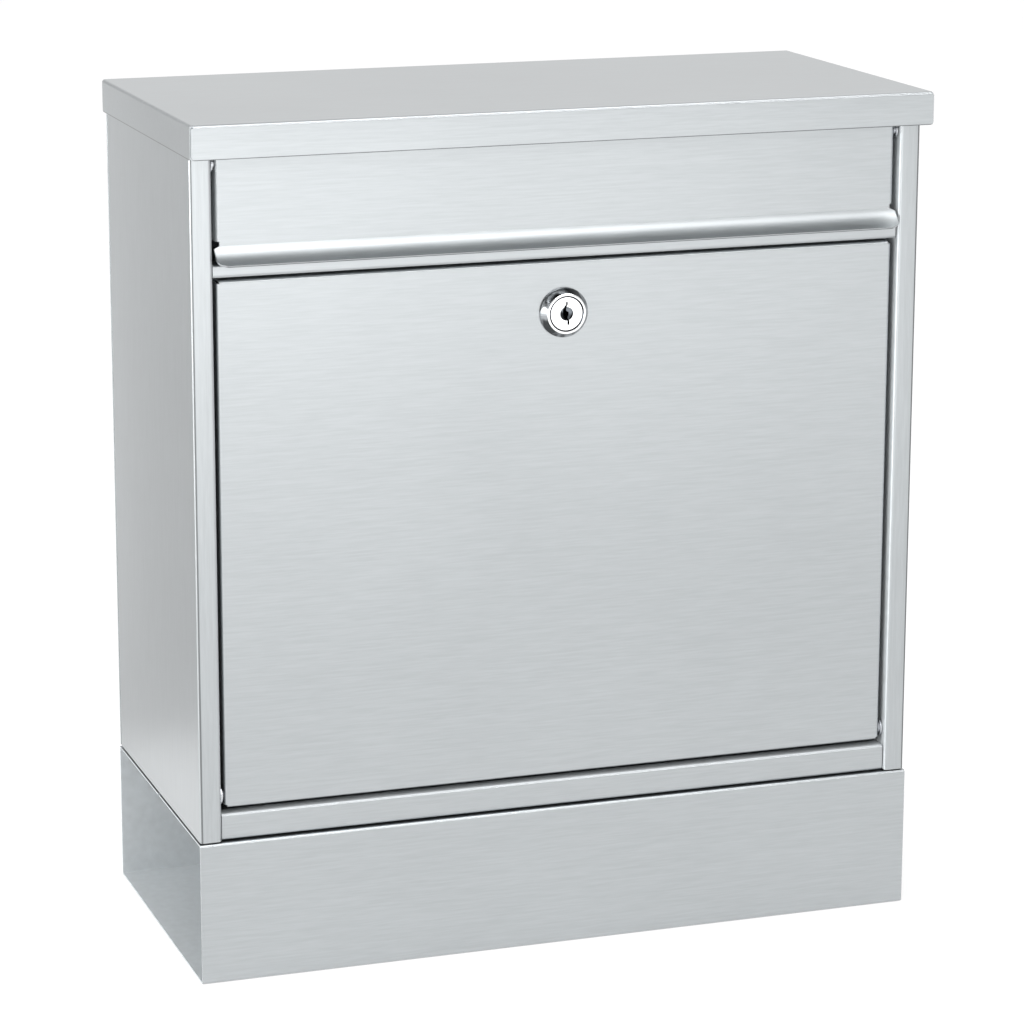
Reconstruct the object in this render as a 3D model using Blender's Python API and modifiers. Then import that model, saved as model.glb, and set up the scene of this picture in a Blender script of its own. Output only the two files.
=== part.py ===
"""Wall mounted mailbox in folded stainless sheet, with a newspaper sleeve under it.

Metres. +Z is up, the front faces -Y, and the origin is the middle of the back panel's wall side.
Each sheet is drawn as its outer skin and given its thickness inwards by a Solidify modifier.
"""

import math

import bmesh
import bpy
from mathutils import Matrix, Vector

MM = 0.001

# Overall sizes of the case
BODY_WIDTH = 365 * MM
BODY_DEPTH = 165 * MM
BODY_HEIGHT = 342.5 * MM

# Sheet metal
SHEET = 1.0 * MM
BEND_RADIUS = 1.5 * MM
BEND_STEPS = 4
GAP = 0.3 * MM  # between pieces that touch

# Front frame: the folded front edges of the side panels
STILE_WIDTH = 10.5 * MM
STILE_RETURN = 24 * MM
REAR_FLANGE = 15 * MM
TOP_FLANGE = 14 * MM
RAIL_END_GAP = 0.4 * MM  # from a rail's end to the stile's return

# Floor pan, whose front edge is the sill below the door
SILL_HEIGHT = 13 * MM
SILL_RECESS = 1.7 * MM
SILL_RETURN = 8 * MM
FLOOR_FLANGE = 12 * MM

# Roof lid
ROOF_LIP = 16 * MM
ROOF_OVERHANG = 11 * MM
ROOF_SIDE_CLEARANCE = 0.7 * MM
LIP_CORNER = 1.5 * MM

# Mail slot and its rail
SLOT_HEIGHT = 50 * MM  # from the roof's lip to the top of the rail
RAIL_HEIGHT = 6.7 * MM
RAIL_RECESS = 2.0 * MM
RAIL_TOP_DEPTH = 12 * MM
KEEPER_DROP = 11 * MM

# Door
DOOR_RECESS = 3.0 * MM
DOOR_SIDE_GAP = 2.2 * MM
DOOR_TOP_GAP = 1.3 * MM
DOOR_SILL_GAP = 2.6 * MM
DOOR_RETURN = 14 * MM
DOOR_PIN_HEIGHT = 5.5 * MM  # above the door's lower edge

# Flap
FLAP_RECESS = 2.4 * MM
FLAP_SIDE_GAP = 2.4 * MM
FLAP_SILL_GAP = 8.2 * MM  # from the rail's top to the flap's bend
FLAP_TOP_CLEARANCE = 8.8 * MM
FLAP_RETURN = 9 * MM
FLAP_TOP_FLANGE = 8 * MM
FLAP_PIN_DROP = 3.8 * MM  # from the roof lip's lower edge to the pins
LIP_LENGTH = 12 * MM
LIP_START_ANGLE = 34  # degrees from straight down, towards the front
LIP_END_ANGLE = 62
LIP_STEPS = 8
LIP_OVERHANG = 1.3 * MM  # of the lip past the flap's sides
LIP_ROUND = 5 * MM

# Hinge pins: shouldered rivets that turn in the stiles' returns
HINGE_SET_BACK = 4.2 * MM  # behind the outer face of the door or flap
PIN_RADIUS = 2.5 * MM
PIN_CLEARANCE = 0.3 * MM
PIN_REACH = 3.0 * MM  # past the stile's return
PIN_DISC_RADIUS = 4.5 * MM
PIN_DISC_THICKNESS = 0.8 * MM
PIN_DISC_CLEARANCE = 0.5 * MM
PIN_SPACER_RADIUS = 3.0 * MM
PIN_NECK_RADIUS = 1.8 * MM
PIN_TAIL_RADIUS = 2.7 * MM
PIN_TAIL_THICKNESS = 0.8 * MM

# Rubber buffers that the door and the flap close on
BUFFER_RADIUS = 3.0 * MM
BUFFER_LENGTH = 4.5 * MM
BUFFER_STEM_RADIUS = 1.5 * MM
BUFFER_BARB_RADIUS = 2.1 * MM
BUFFER_BARB_LENGTH = 1.5 * MM
DOOR_BUFFER_DROP = 15 * MM  # below the door's upper edge
FLAP_BUFFER_RISE = 10 * MM  # above the flap's bend

# Newspaper sleeve
SLEEVE_HEIGHT = 70 * MM
SLEEVE_OVERSIZE = 0.5 * MM  # wider than the case, on each side
SLEEVE_FORWARD = 1.0 * MM
SLEEVE_SHEET = 0.9 * MM
SLEEVE_DROP = 0.5 * MM  # from the case to the sleeve
SLEEVE_SEAM = 2.0 * MM

# Blind rivets that hold the sleeve
RIVET_SHANK_RADIUS = 1.9 * MM
RIVET_HEAD_RADIUS = 4.0 * MM
RIVET_HEAD_HEIGHT = 1.6 * MM
RIVET_TAIL_RADIUS = 3.0 * MM
RIVET_TAIL_HEIGHT = 1.4 * MM
RIVET_SIDE_INSET = 42 * MM
RIVET_EDGE_INSET = 30 * MM

# Weld studs and nuts that hold the roof
STUD_RADIUS = 2.0 * MM
STUD_LENGTH = 9 * MM
STUD_CHAMFER = 0.5 * MM
NUT_FLATS = 7 * MM
NUT_HEIGHT = 3.2 * MM
STUD_SIDE_INSET = 8.5 * MM
STUD_FRONT_INSET = 40 * MM
STUD_BACK_INSET = 35 * MM

# Holes in the back panel for the wall screws
WALL_HOLE_RADIUS = 3.25 * MM
WALL_HOLE_SIDE_INSET = 42 * MM
WALL_HOLE_END_INSET = 52 * MM

# Cam lock
LOCK_DROP = 25 * MM  # below the door's upper edge
LOCK_FLANGE_RADIUS = 12 * MM
LOCK_FLANGE_RIM = 0.9 * MM
LOCK_PROTRUSION = 4.8 * MM
LOCK_FACE_RADIUS = 9.7 * MM
LOCK_BARREL_RADIUS = 9.2 * MM
LOCK_BARREL_FLATS = 16 * MM
LOCK_BARREL_LENGTH = 18 * MM  # behind the door's outer face
LOCK_NUT_FLATS = 23 * MM
LOCK_NUT_THICKNESS = 3.5 * MM
PLUG_FACE_RADIUS = 8.2 * MM
PLUG_FACE_DEPTH = 3.0 * MM
PLUG_RADIUS = 6.0 * MM
PLUG_CLEARANCE = 0.25 * MM
PLUG_TAIL_RADIUS = 3.5 * MM
PLUG_TAIL_FLATS = 5.4 * MM
KEYWAY_WIDTH = 1.6 * MM
KEYWAY_HEIGHT = 9.6 * MM
KEYWAY_DEPTH = 12 * MM
KEYWAY_DISH_RADIUS = 3.3 * MM
KEYWAY_DISH_DEPTH = 0.5 * MM
CAM_REACH = 30 * MM
CAM_WIDTH = 14 * MM
CAM_THICKNESS = 2.0 * MM
CAM_LATCH_PLAY = 0.5 * MM  # from the cam to the rail's keeper
CAM_WASHER_RADIUS = 6.0 * MM
CAM_WASHER_THICKNESS = 0.8 * MM
CAM_SCREW_RADIUS = 1.5 * MM
CAM_SCREW_LENGTH = 8 * MM
CAM_SCREW_HEAD_RADIUS = 4.0 * MM
CAM_SCREW_HEAD_HEIGHT = 2.4 * MM
CAM_SCREW_SLOT_WIDTH = 1.0 * MM
CAM_SCREW_SLOT_DEPTH = 1.2 * MM

# Sides of round shapes
ROUND_SIDES = 40
SMALL_SIDES = 24

# Derived places. Heights count from the case's lower edge.
BASE_Z = -BODY_HEIGHT / 2
TOP_Z = BASE_Z + BODY_HEIGHT
FRONT_Y = -BODY_DEPTH
HALF_WIDTH = BODY_WIDTH / 2
RETURN_X = HALF_WIDTH - STILE_WIDTH  # the stiles' inner edges
REAR_SEAT_Y = -(SHEET + GAP)  # where the side panels' rear flanges meet the back panel
ROOF_UNDER_Z = TOP_Z + GAP
ROOF_TOP_Z = ROOF_UNDER_Z + SHEET
LIP_BOTTOM_Z = ROOF_TOP_Z - ROOF_LIP
ROOF_FRONT_Y = FRONT_Y - ROOF_OVERHANG
ROOF_HALF_WIDTH = HALF_WIDTH + ROOF_SIDE_CLEARANCE + SHEET
RAIL_TOP_Z = LIP_BOTTOM_Z - SLOT_HEIGHT
RAIL_BOTTOM_Z = RAIL_TOP_Z - RAIL_HEIGHT
RAIL_Y = FRONT_Y + RAIL_RECESS
RAIL_HALF_WIDTH = RETURN_X - RAIL_END_GAP
SILL_TOP_Z = BASE_Z + SILL_HEIGHT
SILL_Y = FRONT_Y + SILL_RECESS
DOOR_Y = FRONT_Y + DOOR_RECESS
DOOR_TOP_Z = RAIL_BOTTOM_Z - DOOR_TOP_GAP
DOOR_BOTTOM_Z = SILL_TOP_Z + DOOR_SILL_GAP
DOOR_HALF_WIDTH = RETURN_X - DOOR_SIDE_GAP
DOOR_AXIS = Vector((0, DOOR_Y + HINGE_SET_BACK, DOOR_BOTTOM_Z + DOOR_PIN_HEIGHT))
FLAP_Y = FRONT_Y + FLAP_RECESS
FLAP_HALF_WIDTH = RETURN_X - FLAP_SIDE_GAP
FLAP_BEND_Z = RAIL_TOP_Z + FLAP_SILL_GAP
FLAP_TOP_Z = ROOF_UNDER_Z - FLAP_TOP_CLEARANCE
FLAP_AXIS = Vector((0, FLAP_Y + HINGE_SET_BACK, LIP_BOTTOM_Z - FLAP_PIN_DROP))
LOCK_AXIS = Vector((0, DOOR_Y, DOOR_TOP_Z - LOCK_DROP))
CAM_FRONT_Y = DOOR_Y + LOCK_BARREL_LENGTH + 2 * GAP
KEEPER_Y = CAM_FRONT_Y - CAM_LATCH_PLAY - SHEET
SLEEVE_TOP_Z = BASE_Z - SLEEVE_DROP
SLEEVE_FRONT_Y = FRONT_Y - SLEEVE_FORWARD
SLEEVE_HALF_WIDTH = HALF_WIDTH + SLEEVE_OVERSIZE

LEFT, RIGHT = -1, 1
SIDES = (("left", LEFT), ("right", RIGHT))
X = Vector((1, 0, 0))
Y = Vector((0, 1, 0))
Z = Vector((0, 0, 1))
LAY_ALONG_X = (0, math.radians(90), 0)  # turns local Z to +X
LAY_ALONG_MINUS_X = (0, math.radians(-90), 0)
LAY_ALONG_MINUS_Y = (math.radians(90), 0, 0)  # turns local Z to -Y


# ---------------------------------------------------------------- scene and objects


def clear_scene():
    for obj in list(bpy.data.objects):
        bpy.data.objects.remove(obj, do_unlink=True)


def new_collection(name):
    collection = bpy.data.collections.new(name)
    bpy.context.scene.collection.children.link(collection)
    return collection


def metal(name, colour, roughness):
    material = bpy.data.materials.new(name)
    material.use_nodes = True
    surface = material.node_tree.nodes["Principled BSDF"]
    surface.inputs["Base Color"].default_value = (*colour, 1)
    surface.inputs["Metallic"].default_value = 1
    surface.inputs["Roughness"].default_value = roughness
    return material


def rubber(name):
    material = metal(name, (0.03, 0.03, 0.03), 0.8)
    material.node_tree.nodes["Principled BSDF"].inputs["Metallic"].default_value = 0
    return material


def add_object(name, bm, material, origin=(0, 0, 0), parent=None):
    """Makes an object of bm, whose points are in the mailbox's frame, with its own origin."""
    bmesh.ops.translate(bm, verts=bm.verts, vec=-Vector(origin))
    mesh = bpy.data.meshes.new(name)
    bm.to_mesh(mesh)
    bm.free()
    obj = bpy.data.objects.new(name, mesh)
    mailbox.objects.link(obj)
    obj.location = Vector(origin) - (parent.location if parent else Vector())
    obj.parent = parent
    if material:
        mesh.materials.append(material)
    return obj


def add_pivot(name, place, parent=None):
    pivot = bpy.data.objects.new(name, None)
    mailbox.objects.link(pivot)
    pivot.location = place
    pivot.empty_display_size = 0.02
    if parent:
        pivot.parent = parent
        pivot.location = place - parent.location
    return pivot


def make_cutter(obj):
    mailbox.objects.unlink(obj)
    cutters.objects.link(obj)
    obj.hide_render = True
    obj.display_type = "WIRE"
    return obj


def cut(obj, cutter):
    boolean = obj.modifiers.new("Cut " + cutter.name, "BOOLEAN")
    boolean.operation = "DIFFERENCE"
    boolean.solver = "EXACT"
    boolean.object = cutter


def cylinder(radius, length, centre, axis, sides=SMALL_SIDES):
    bm = bmesh.new()
    turn = Z.rotation_difference(axis).to_matrix().to_4x4()
    bmesh.ops.create_cone(
        bm,
        cap_ends=True,
        segments=sides,
        radius1=radius,
        radius2=radius,
        depth=length,
        matrix=Matrix.Translation(centre) @ turn,
    )
    return bm


def block(low, high):
    low, high = Vector(low), Vector(high)
    bm = bmesh.new()
    size = Matrix.Diagonal((*(high - low), 1))
    bmesh.ops.create_cube(bm, size=1, matrix=Matrix.Translation((low + high) / 2) @ size)
    return bm


def drill(obj, name, radius, centre, axis, length, parent=None):
    centre = Vector(centre)
    hole = add_object(name, cylinder(radius, length, centre, axis), None, centre, parent)
    cut(obj, make_cutter(hole))


def flatten(bm, axis, half):
    """Presses two flats on a round shape, half to each side of its axis."""
    for vert in bm.verts:
        vert.co[axis] = max(-half, min(half, vert.co[axis]))


# ---------------------------------------------------------------- folded sheet


def flat_sheet(centre, along, across, width, height):
    """A flat face: width runs along one direction and height across it."""
    bm = bmesh.new()
    frame = Matrix((along, across, along.cross(across))).transposed().to_4x4()
    size = Matrix.Diagonal((width, height, 1, 1))
    bmesh.ops.create_grid(
        bm, x_segments=1, y_segments=1, size=0.5, matrix=Matrix.Translation(centre) @ frame @ size
    )
    return bm


def split_sheet(bm, place, normal):
    geometry = bm.verts[:] + bm.edges[:] + bm.faces[:]
    bmesh.ops.bisect_plane(bm, geom=geometry, plane_co=place, plane_no=normal, dist=1e-7)


def free_edge(bm, direction, between=None, along=X):
    """The open edge furthest along a direction, optionally only between two places on it."""
    edges = [edge for edge in bm.edges if edge.is_boundary]
    middles = {edge: (edge.verts[0].co + edge.verts[1].co) / 2 for edge in edges}
    if between:
        edges = [edge for edge in edges if between[0] < middles[edge].dot(along) < between[1]]
    furthest = max(middles[edge].dot(direction) for edge in edges)
    return [edge for edge in edges if furthest - middles[edge].dot(direction) < 1e-6]


def draw_out(bm, edges, path, spreads=None):
    """Extrudes edges through a path of offsets. A spread moves their two ends apart."""
    along = (edges[0].verts[1].co - edges[0].verts[0].co).normalized()
    middle = sum(((edge.verts[0].co + edge.verts[1].co) / 2 for edge in edges), Vector())
    middle = (middle / len(edges)).dot(along)
    at, spread_so_far = Vector(), 0
    for index, place in enumerate(path):
        made = bmesh.ops.extrude_edge_only(bm, edges=edges)["geom"]
        points = [part for part in made if isinstance(part, bmesh.types.BMVert)]
        edges = [part for part in made if isinstance(part, bmesh.types.BMEdge)]
        spread = spreads[index] if spreads else 0
        for point in points:
            outwards = 1 if point.co.dot(along) > middle else -1
            point.co += place - at + along * outwards * (spread - spread_so_far)
        at, spread_so_far = place, spread
    return edges


def fold(bm, edges, out, turn, length, spread=0):
    """Bends the sheet by 90 degrees from out to turn. length counts from the outside of the bend."""
    arc = []
    for step in range(1, BEND_STEPS + 1):
        angle = math.radians(90) * step / BEND_STEPS
        arc.append(BEND_RADIUS * (math.sin(angle) * out + (1 - math.cos(angle)) * turn))
    spreads = [0] * (BEND_STEPS - 1) + [spread, spread]
    return draw_out(bm, edges, arc + [BEND_RADIUS * out + length * turn], spreads)


def round_corners(bm, places, radius):
    corners = [vert for vert in bm.verts if any((vert.co - place).length < 1e-5 for place in places)]
    bmesh.ops.bevel(
        bm, geom=corners, offset=radius, segments=3, profile=0.5, affect="VERTICES", clamp_overlap=True
    )


def add_sheet(name, bm, outside, material, thickness=SHEET, origin=(0, 0, 0), parent=None):
    """Makes the piece of a skin whose largest face looks to the outside."""
    bmesh.ops.recalc_face_normals(bm, faces=bm.faces)
    largest = max(bm.faces, key=lambda face: face.calc_area())
    largest.normal_update()
    if largest.normal.dot(outside) < 0:
        bmesh.ops.reverse_faces(bm, faces=bm.faces)
    obj = add_object(name, bm, material, origin, parent)
    solidify = obj.modifiers.new("Sheet thickness", "SOLIDIFY")
    solidify.thickness = thickness
    solidify.offset = -1
    solidify.use_even_offset = True
    solidify.use_rim = True
    return obj


# ---------------------------------------------------------------- turned pieces


def add_turned(
    name, profile, material, place, rotation=(0, 0, 0), parent=None, sides=SMALL_SIDES, ring=False
):
    """Turns a profile of (radius, height) points, run down its outer side, round local Z."""
    mesh = bpy.data.meshes.new(name)
    links = [(i, i + 1) for i in range(len(profile) - 1)]
    if ring:
        links.append((len(profile) - 1, 0))
    mesh.from_pydata([(radius, 0, height) for radius, height in profile], links, [])
    mesh.materials.append(material)
    obj = bpy.data.objects.new(name, mesh)
    mailbox.objects.link(obj)
    obj.location = Vector(place) - (parent.location if parent else Vector())
    obj.rotation_euler = rotation
    obj.parent = parent
    screw = obj.modifiers.new("Turned", "SCREW")
    screw.steps = sides
    screw.render_steps = sides
    screw.use_merge_vertices = True
    screw.merge_threshold = 0.00001
    screw.use_smooth_shade = True
    return obj


def arc_points(radius, height, top, steps=4):
    """Points of a low dome of this radius and height, from its crown to its rim."""
    points = []
    for step in range(steps + 1):
        angle = math.radians(90) * step / steps
        points.append((radius * math.sin(angle), top - height * (1 - math.cos(angle))))
    return points


# ---------------------------------------------------------------- the case


def build_back_panel():
    low = (-HALF_WIDTH, -SHEET, BASE_Z)
    obj = add_object("back_panel", block(low, (HALF_WIDTH, 0, TOP_Z)), steel)
    for side_name, side in SIDES:
        for end_name, z in (("lower", BASE_Z + WALL_HOLE_END_INSET), ("upper", TOP_Z - WALL_HOLE_END_INSET)):
            centre = (side * (HALF_WIDTH - WALL_HOLE_SIDE_INSET), 0, z)
            drill(obj, f"wall_hole_{side_name}_{end_name}", WALL_HOLE_RADIUS, centre, Y, 4 * SHEET)


def stud_places(side):
    x = side * (HALF_WIDTH - STUD_SIDE_INSET)
    return (x, FRONT_Y + STUD_FRONT_INSET), (x, -STUD_BACK_INSET)


def buffer_places():
    """(name, y, z) of the buffers, just behind the returns of the door and the flap."""
    behind = GAP + BUFFER_RADIUS
    door = ("door", DOOR_Y + DOOR_RETURN + behind, DOOR_TOP_Z - DOOR_BUFFER_DROP)
    flap = ("flap", FLAP_Y + FLAP_RETURN + behind, FLAP_BEND_Z + FLAP_BUFFER_RISE)
    return door, flap


def build_side_panel(side_name, side):
    inwards = -side * X
    front, back = FRONT_Y + BEND_RADIUS, REAR_SEAT_Y - BEND_RADIUS
    top = TOP_Z - BEND_RADIUS
    centre = Vector((side * HALF_WIDTH, (front + back) / 2, (BASE_Z + top) / 2))
    bm = flat_sheet(centre, Y, Z, back - front, top - BASE_Z)
    stile = fold(bm, free_edge(bm, -Y), -Y, inwards, STILE_WIDTH - BEND_RADIUS)
    fold(bm, stile, inwards, Y, STILE_RETURN)
    fold(bm, free_edge(bm, Y), Y, inwards, REAR_FLANGE)
    flange_front = FRONT_Y + STILE_RETURN + SHEET
    flange_back = REAR_SEAT_Y - 2 * SHEET
    split_sheet(bm, (0, flange_front, 0), Y)
    split_sheet(bm, (0, flange_back, 0), Y)
    fold(bm, free_edge(bm, Z, (flange_front, flange_back), Y), Z, inwards, TOP_FLANGE)
    obj = add_sheet(f"{side_name}_side_panel", bm, side * X, steel)

    return_middle = side * (RETURN_X + SHEET / 2)
    for name, axis in (("door", DOOR_AXIS), ("flap", FLAP_AXIS)):
        centre = (return_middle, axis.y, axis.z)
        radius = PIN_RADIUS + PIN_CLEARANCE
        drill(obj, f"{side_name}_{name}_pin_hole", radius, centre, X, 4 * SHEET)
    for name, y, z in buffer_places():
        radius = BUFFER_STEM_RADIUS + GAP
        drill(obj, f"{side_name}_{name}_buffer_hole", radius, (return_middle, y, z), X, 4 * SHEET)
    for index, (x, y) in enumerate(stud_places(side)):
        radius = STUD_RADIUS + GAP
        drill(obj, f"{side_name}_stud_hole_{index + 1}", radius, (x, y, TOP_Z), Z, 4 * SHEET)


def rivet_places():
    x = HALF_WIDTH - RIVET_SIDE_INSET
    ys = (FRONT_Y + RIVET_EDGE_INSET, -RIVET_EDGE_INSET)
    return [(i * x, y) for i in (-1, 0, 1) for y in ys]


def build_floor_pan():
    front = SILL_Y + BEND_RADIUS
    rear_y = REAR_SEAT_Y - SHEET - GAP
    back = rear_y - BEND_RADIUS
    centre = Vector((0, (front + back) / 2, BASE_Z))
    bm = flat_sheet(centre, X, Y, 2 * RAIL_HALF_WIDTH, back - front)
    upright = fold(bm, free_edge(bm, -Y), -Y, Z, SILL_HEIGHT - BEND_RADIUS)
    fold(bm, upright, Z, Y, SILL_RETURN)
    fold(bm, free_edge(bm, Y), Y, Z, FLOOR_FLANGE)
    wing_front = FRONT_Y + STILE_RETURN + RAIL_END_GAP
    wing_back = back - SHEET
    split_sheet(bm, (0, wing_front, 0), Y)
    split_sheet(bm, (0, wing_back, 0), Y)
    wing = HALF_WIDTH - SHEET - GAP - BEND_RADIUS - RAIL_HALF_WIDTH
    for _, side in SIDES:
        edges = free_edge(bm, side * X, (wing_front, wing_back), Y)
        edges = draw_out(bm, edges, [wing * side * X])
        fold(bm, edges, side * X, Z, FLOOR_FLANGE)
    obj = add_sheet("floor_pan", bm, -Z, steel)
    for index, (x, y) in enumerate(rivet_places()):
        drill(obj, f"floor_rivet_hole_{index + 1}", RIVET_SHANK_RADIUS + GAP, (x, y, BASE_Z), Z, 4 * SHEET)


def build_slot_rail():
    low, high = RAIL_BOTTOM_Z + BEND_RADIUS, RAIL_TOP_Z - BEND_RADIUS
    bm = flat_sheet(Vector((0, RAIL_Y, (low + high) / 2)), X, Z, 2 * RAIL_HALF_WIDTH, high - low)
    fold(bm, free_edge(bm, Z), Z, Y, RAIL_TOP_DEPTH)
    shelf = fold(bm, free_edge(bm, -Z), -Z, Y, KEEPER_Y - RAIL_Y - BEND_RADIUS)
    fold(bm, shelf, Y, -Z, KEEPER_DROP)
    add_sheet("slot_rail", bm, -Z, steel)


def build_roof_lid():
    front, half = ROOF_FRONT_Y + BEND_RADIUS, ROOF_HALF_WIDTH - BEND_RADIUS
    bm = flat_sheet(Vector((0, front / 2, ROOF_TOP_Z)), X, Y, 2 * half, -front)
    spread = BEND_RADIUS - GAP
    fold(bm, free_edge(bm, -Y), -Y, -Z, ROOF_LIP, spread)
    for _, side in SIDES:
        fold(bm, free_edge(bm, side * X, (front, 0), Y), side * X, -Z, ROOF_LIP)
    corners = []
    for _, side in SIDES:
        corners.append(Vector((side * (half + spread), ROOF_FRONT_Y, LIP_BOTTOM_Z)))
        corners.append(Vector((side * ROOF_HALF_WIDTH, 0, LIP_BOTTOM_Z)))
    round_corners(bm, corners, LIP_CORNER)
    add_sheet("roof_lid", bm, Z, steel)


def build_roof_fixings():
    """Weld studs under the roof, with nuts under the side panels' top flanges."""
    for side_name, side in SIDES:
        for index, (x, y) in enumerate(stud_places(side)):
            bottom = -STUD_LENGTH
            profile = [(0, 0), (STUD_RADIUS, 0), (STUD_RADIUS, bottom + STUD_CHAMFER)]
            profile += [(STUD_RADIUS - STUD_CHAMFER, bottom), (0, bottom)]
            label = f"{side_name}_{index + 1}"
            add_turned(f"roof_stud_{label}", profile, plated, (x, y, TOP_Z))
            centre = Vector((x, y, TOP_Z - SHEET - GAP - NUT_HEIGHT / 2))
            corner_radius = NUT_FLATS / 2 / math.cos(math.radians(30))
            nut = add_object(
                f"roof_nut_{label}", cylinder(corner_radius, NUT_HEIGHT, centre, Z, 6), plated, centre
            )
            drill(nut, f"roof_nut_bore_{label}", STUD_RADIUS + GAP, centre, Z, 2 * NUT_HEIGHT)


def build_newspaper_sleeve():
    bottom = SLEEVE_TOP_Z - SLEEVE_HEIGHT
    low, high = bottom + BEND_RADIUS, SLEEVE_TOP_Z - BEND_RADIUS
    centre = Vector((0, SLEEVE_FRONT_Y, (low + high) / 2))
    bm = flat_sheet(centre, X, Z, 2 * SLEEVE_HALF_WIDTH, high - low)
    top_edge, bottom_edge = free_edge(bm, Z), free_edge(bm, -Z)
    half_top = (-SLEEVE_FRONT_Y - SLEEVE_SEAM) / 2
    fold(bm, top_edge, Z, Y, half_top)
    floor_edge = fold(bm, bottom_edge, -Z, Y, -SLEEVE_FRONT_Y - BEND_RADIUS)
    wall_edge = fold(bm, floor_edge, Y, Z, SLEEVE_HEIGHT - BEND_RADIUS)
    fold(bm, wall_edge, Z, -Y, half_top)
    obj = add_sheet("newspaper_sleeve", bm, -Z, steel, SLEEVE_SHEET)
    for index, (x, y) in enumerate(rivet_places()):
        centre = (x, y, SLEEVE_TOP_Z)
        drill(obj, f"sleeve_rivet_hole_{index + 1}", RIVET_SHANK_RADIUS + GAP, centre, Z, 4 * SHEET)


def build_sleeve_rivets():
    grip = SHEET + SLEEVE_DROP + SLEEVE_SHEET + 2 * GAP
    profile = arc_points(RIVET_HEAD_RADIUS, RIVET_HEAD_HEIGHT, RIVET_HEAD_HEIGHT)
    profile += [(RIVET_SHANK_RADIUS, 0), (RIVET_SHANK_RADIUS, -grip), (RIVET_TAIL_RADIUS, -grip)]
    profile += [(RIVET_TAIL_RADIUS * 0.8, -grip - RIVET_TAIL_HEIGHT), (0, -grip - RIVET_TAIL_HEIGHT)]
    for index, (x, y) in enumerate(rivet_places()):
        add_turned(f"sleeve_rivet_{index + 1}", profile, plated, (x, y, BASE_Z + SHEET + GAP))


def build_buffers():
    """Push-in rubber buffers: a head inside the opening, a stem through the return and a barb."""
    back_of_return = -(GAP + SHEET + GAP)
    profile = [(0, BUFFER_LENGTH), (BUFFER_RADIUS * 0.8, BUFFER_LENGTH)]
    profile += [(BUFFER_RADIUS, BUFFER_LENGTH - BUFFER_RADIUS * 0.2), (BUFFER_RADIUS, 0)]
    profile += [(BUFFER_STEM_RADIUS, 0), (BUFFER_STEM_RADIUS, back_of_return)]
    tip = back_of_return - BUFFER_BARB_LENGTH
    profile += [(BUFFER_BARB_RADIUS, back_of_return), (BUFFER_STEM_RADIUS, tip), (0, tip)]
    for side_name, side in SIDES:
        turn = LAY_ALONG_X if side == LEFT else LAY_ALONG_MINUS_X
        for name, y, z in buffer_places():
            place = (side * (RETURN_X - GAP), y, z)
            add_turned(f"{name}_buffer_{side_name}", profile, buffer_rubber, place, turn)


# ---------------------------------------------------------------- door and flap


def build_hinge_pins(name, axis, half_width, side_gap, parent):
    """Riveted through the door's or flap's return, with a disc in the gap beside the stile."""
    disc_outer = side_gap - PIN_DISC_CLEARANCE
    disc_inner = disc_outer - PIN_DISC_THICKNESS
    end = side_gap + SHEET + PIN_REACH
    tail = -(SHEET + GAP)
    profile = [(0, end), (PIN_RADIUS * 0.8, end), (PIN_RADIUS, end - PIN_RADIUS * 0.2)]
    profile += [(PIN_RADIUS, disc_outer), (PIN_DISC_RADIUS, disc_outer), (PIN_DISC_RADIUS, disc_inner)]
    profile += [(PIN_SPACER_RADIUS, disc_inner), (PIN_SPACER_RADIUS, GAP), (PIN_NECK_RADIUS, GAP)]
    profile += [(PIN_NECK_RADIUS, tail), (PIN_TAIL_RADIUS, tail)]
    profile += [(PIN_TAIL_RADIUS, tail - PIN_TAIL_THICKNESS), (0, tail - PIN_TAIL_THICKNESS)]
    for side_name, side in SIDES:
        turn = LAY_ALONG_MINUS_X if side == LEFT else LAY_ALONG_X
        place = (side * half_width, axis.y, axis.z)
        add_turned(f"{name}_hinge_pin_{side_name}", profile, plated, place, turn, parent, 32)


def drill_pin_holes(obj, name, axis, half_width, parent):
    for side_name, side in SIDES:
        centre = (side * (half_width - SHEET / 2), axis.y, axis.z)
        drill(obj, f"{name}_neck_hole_{side_name}", PIN_NECK_RADIUS + GAP, centre, X, 4 * SHEET, parent)


def build_door_panel(pivot):
    half = DOOR_HALF_WIDTH - BEND_RADIUS
    low, high = DOOR_BOTTOM_Z + BEND_RADIUS, DOOR_TOP_Z - BEND_RADIUS
    bm = flat_sheet(Vector((0, DOOR_Y, (low + high) / 2)), X, Z, 2 * half, high - low)
    for out in (Z, -Z):
        fold(bm, free_edge(bm, out), out, Y, DOOR_RETURN)
    for out in (X, -X):
        fold(bm, free_edge(bm, out, (low, high), Z), out, Y, DOOR_RETURN)
    obj = add_sheet("door_panel", bm, -Y, steel, origin=DOOR_AXIS, parent=pivot)
    drill_pin_holes(obj, "door", DOOR_AXIS, DOOR_HALF_WIDTH, pivot)
    hole = cylinder(LOCK_BARREL_RADIUS + GAP, 6 * SHEET, (0, 0, 0), Y, ROUND_SIDES)
    flatten(hole, 2, LOCK_BARREL_FLATS / 2 + GAP)
    bmesh.ops.translate(hole, verts=hole.verts, vec=LOCK_AXIS)
    cut(obj, make_cutter(add_object("lock_hole", hole, None, LOCK_AXIS, pivot)))


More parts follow.
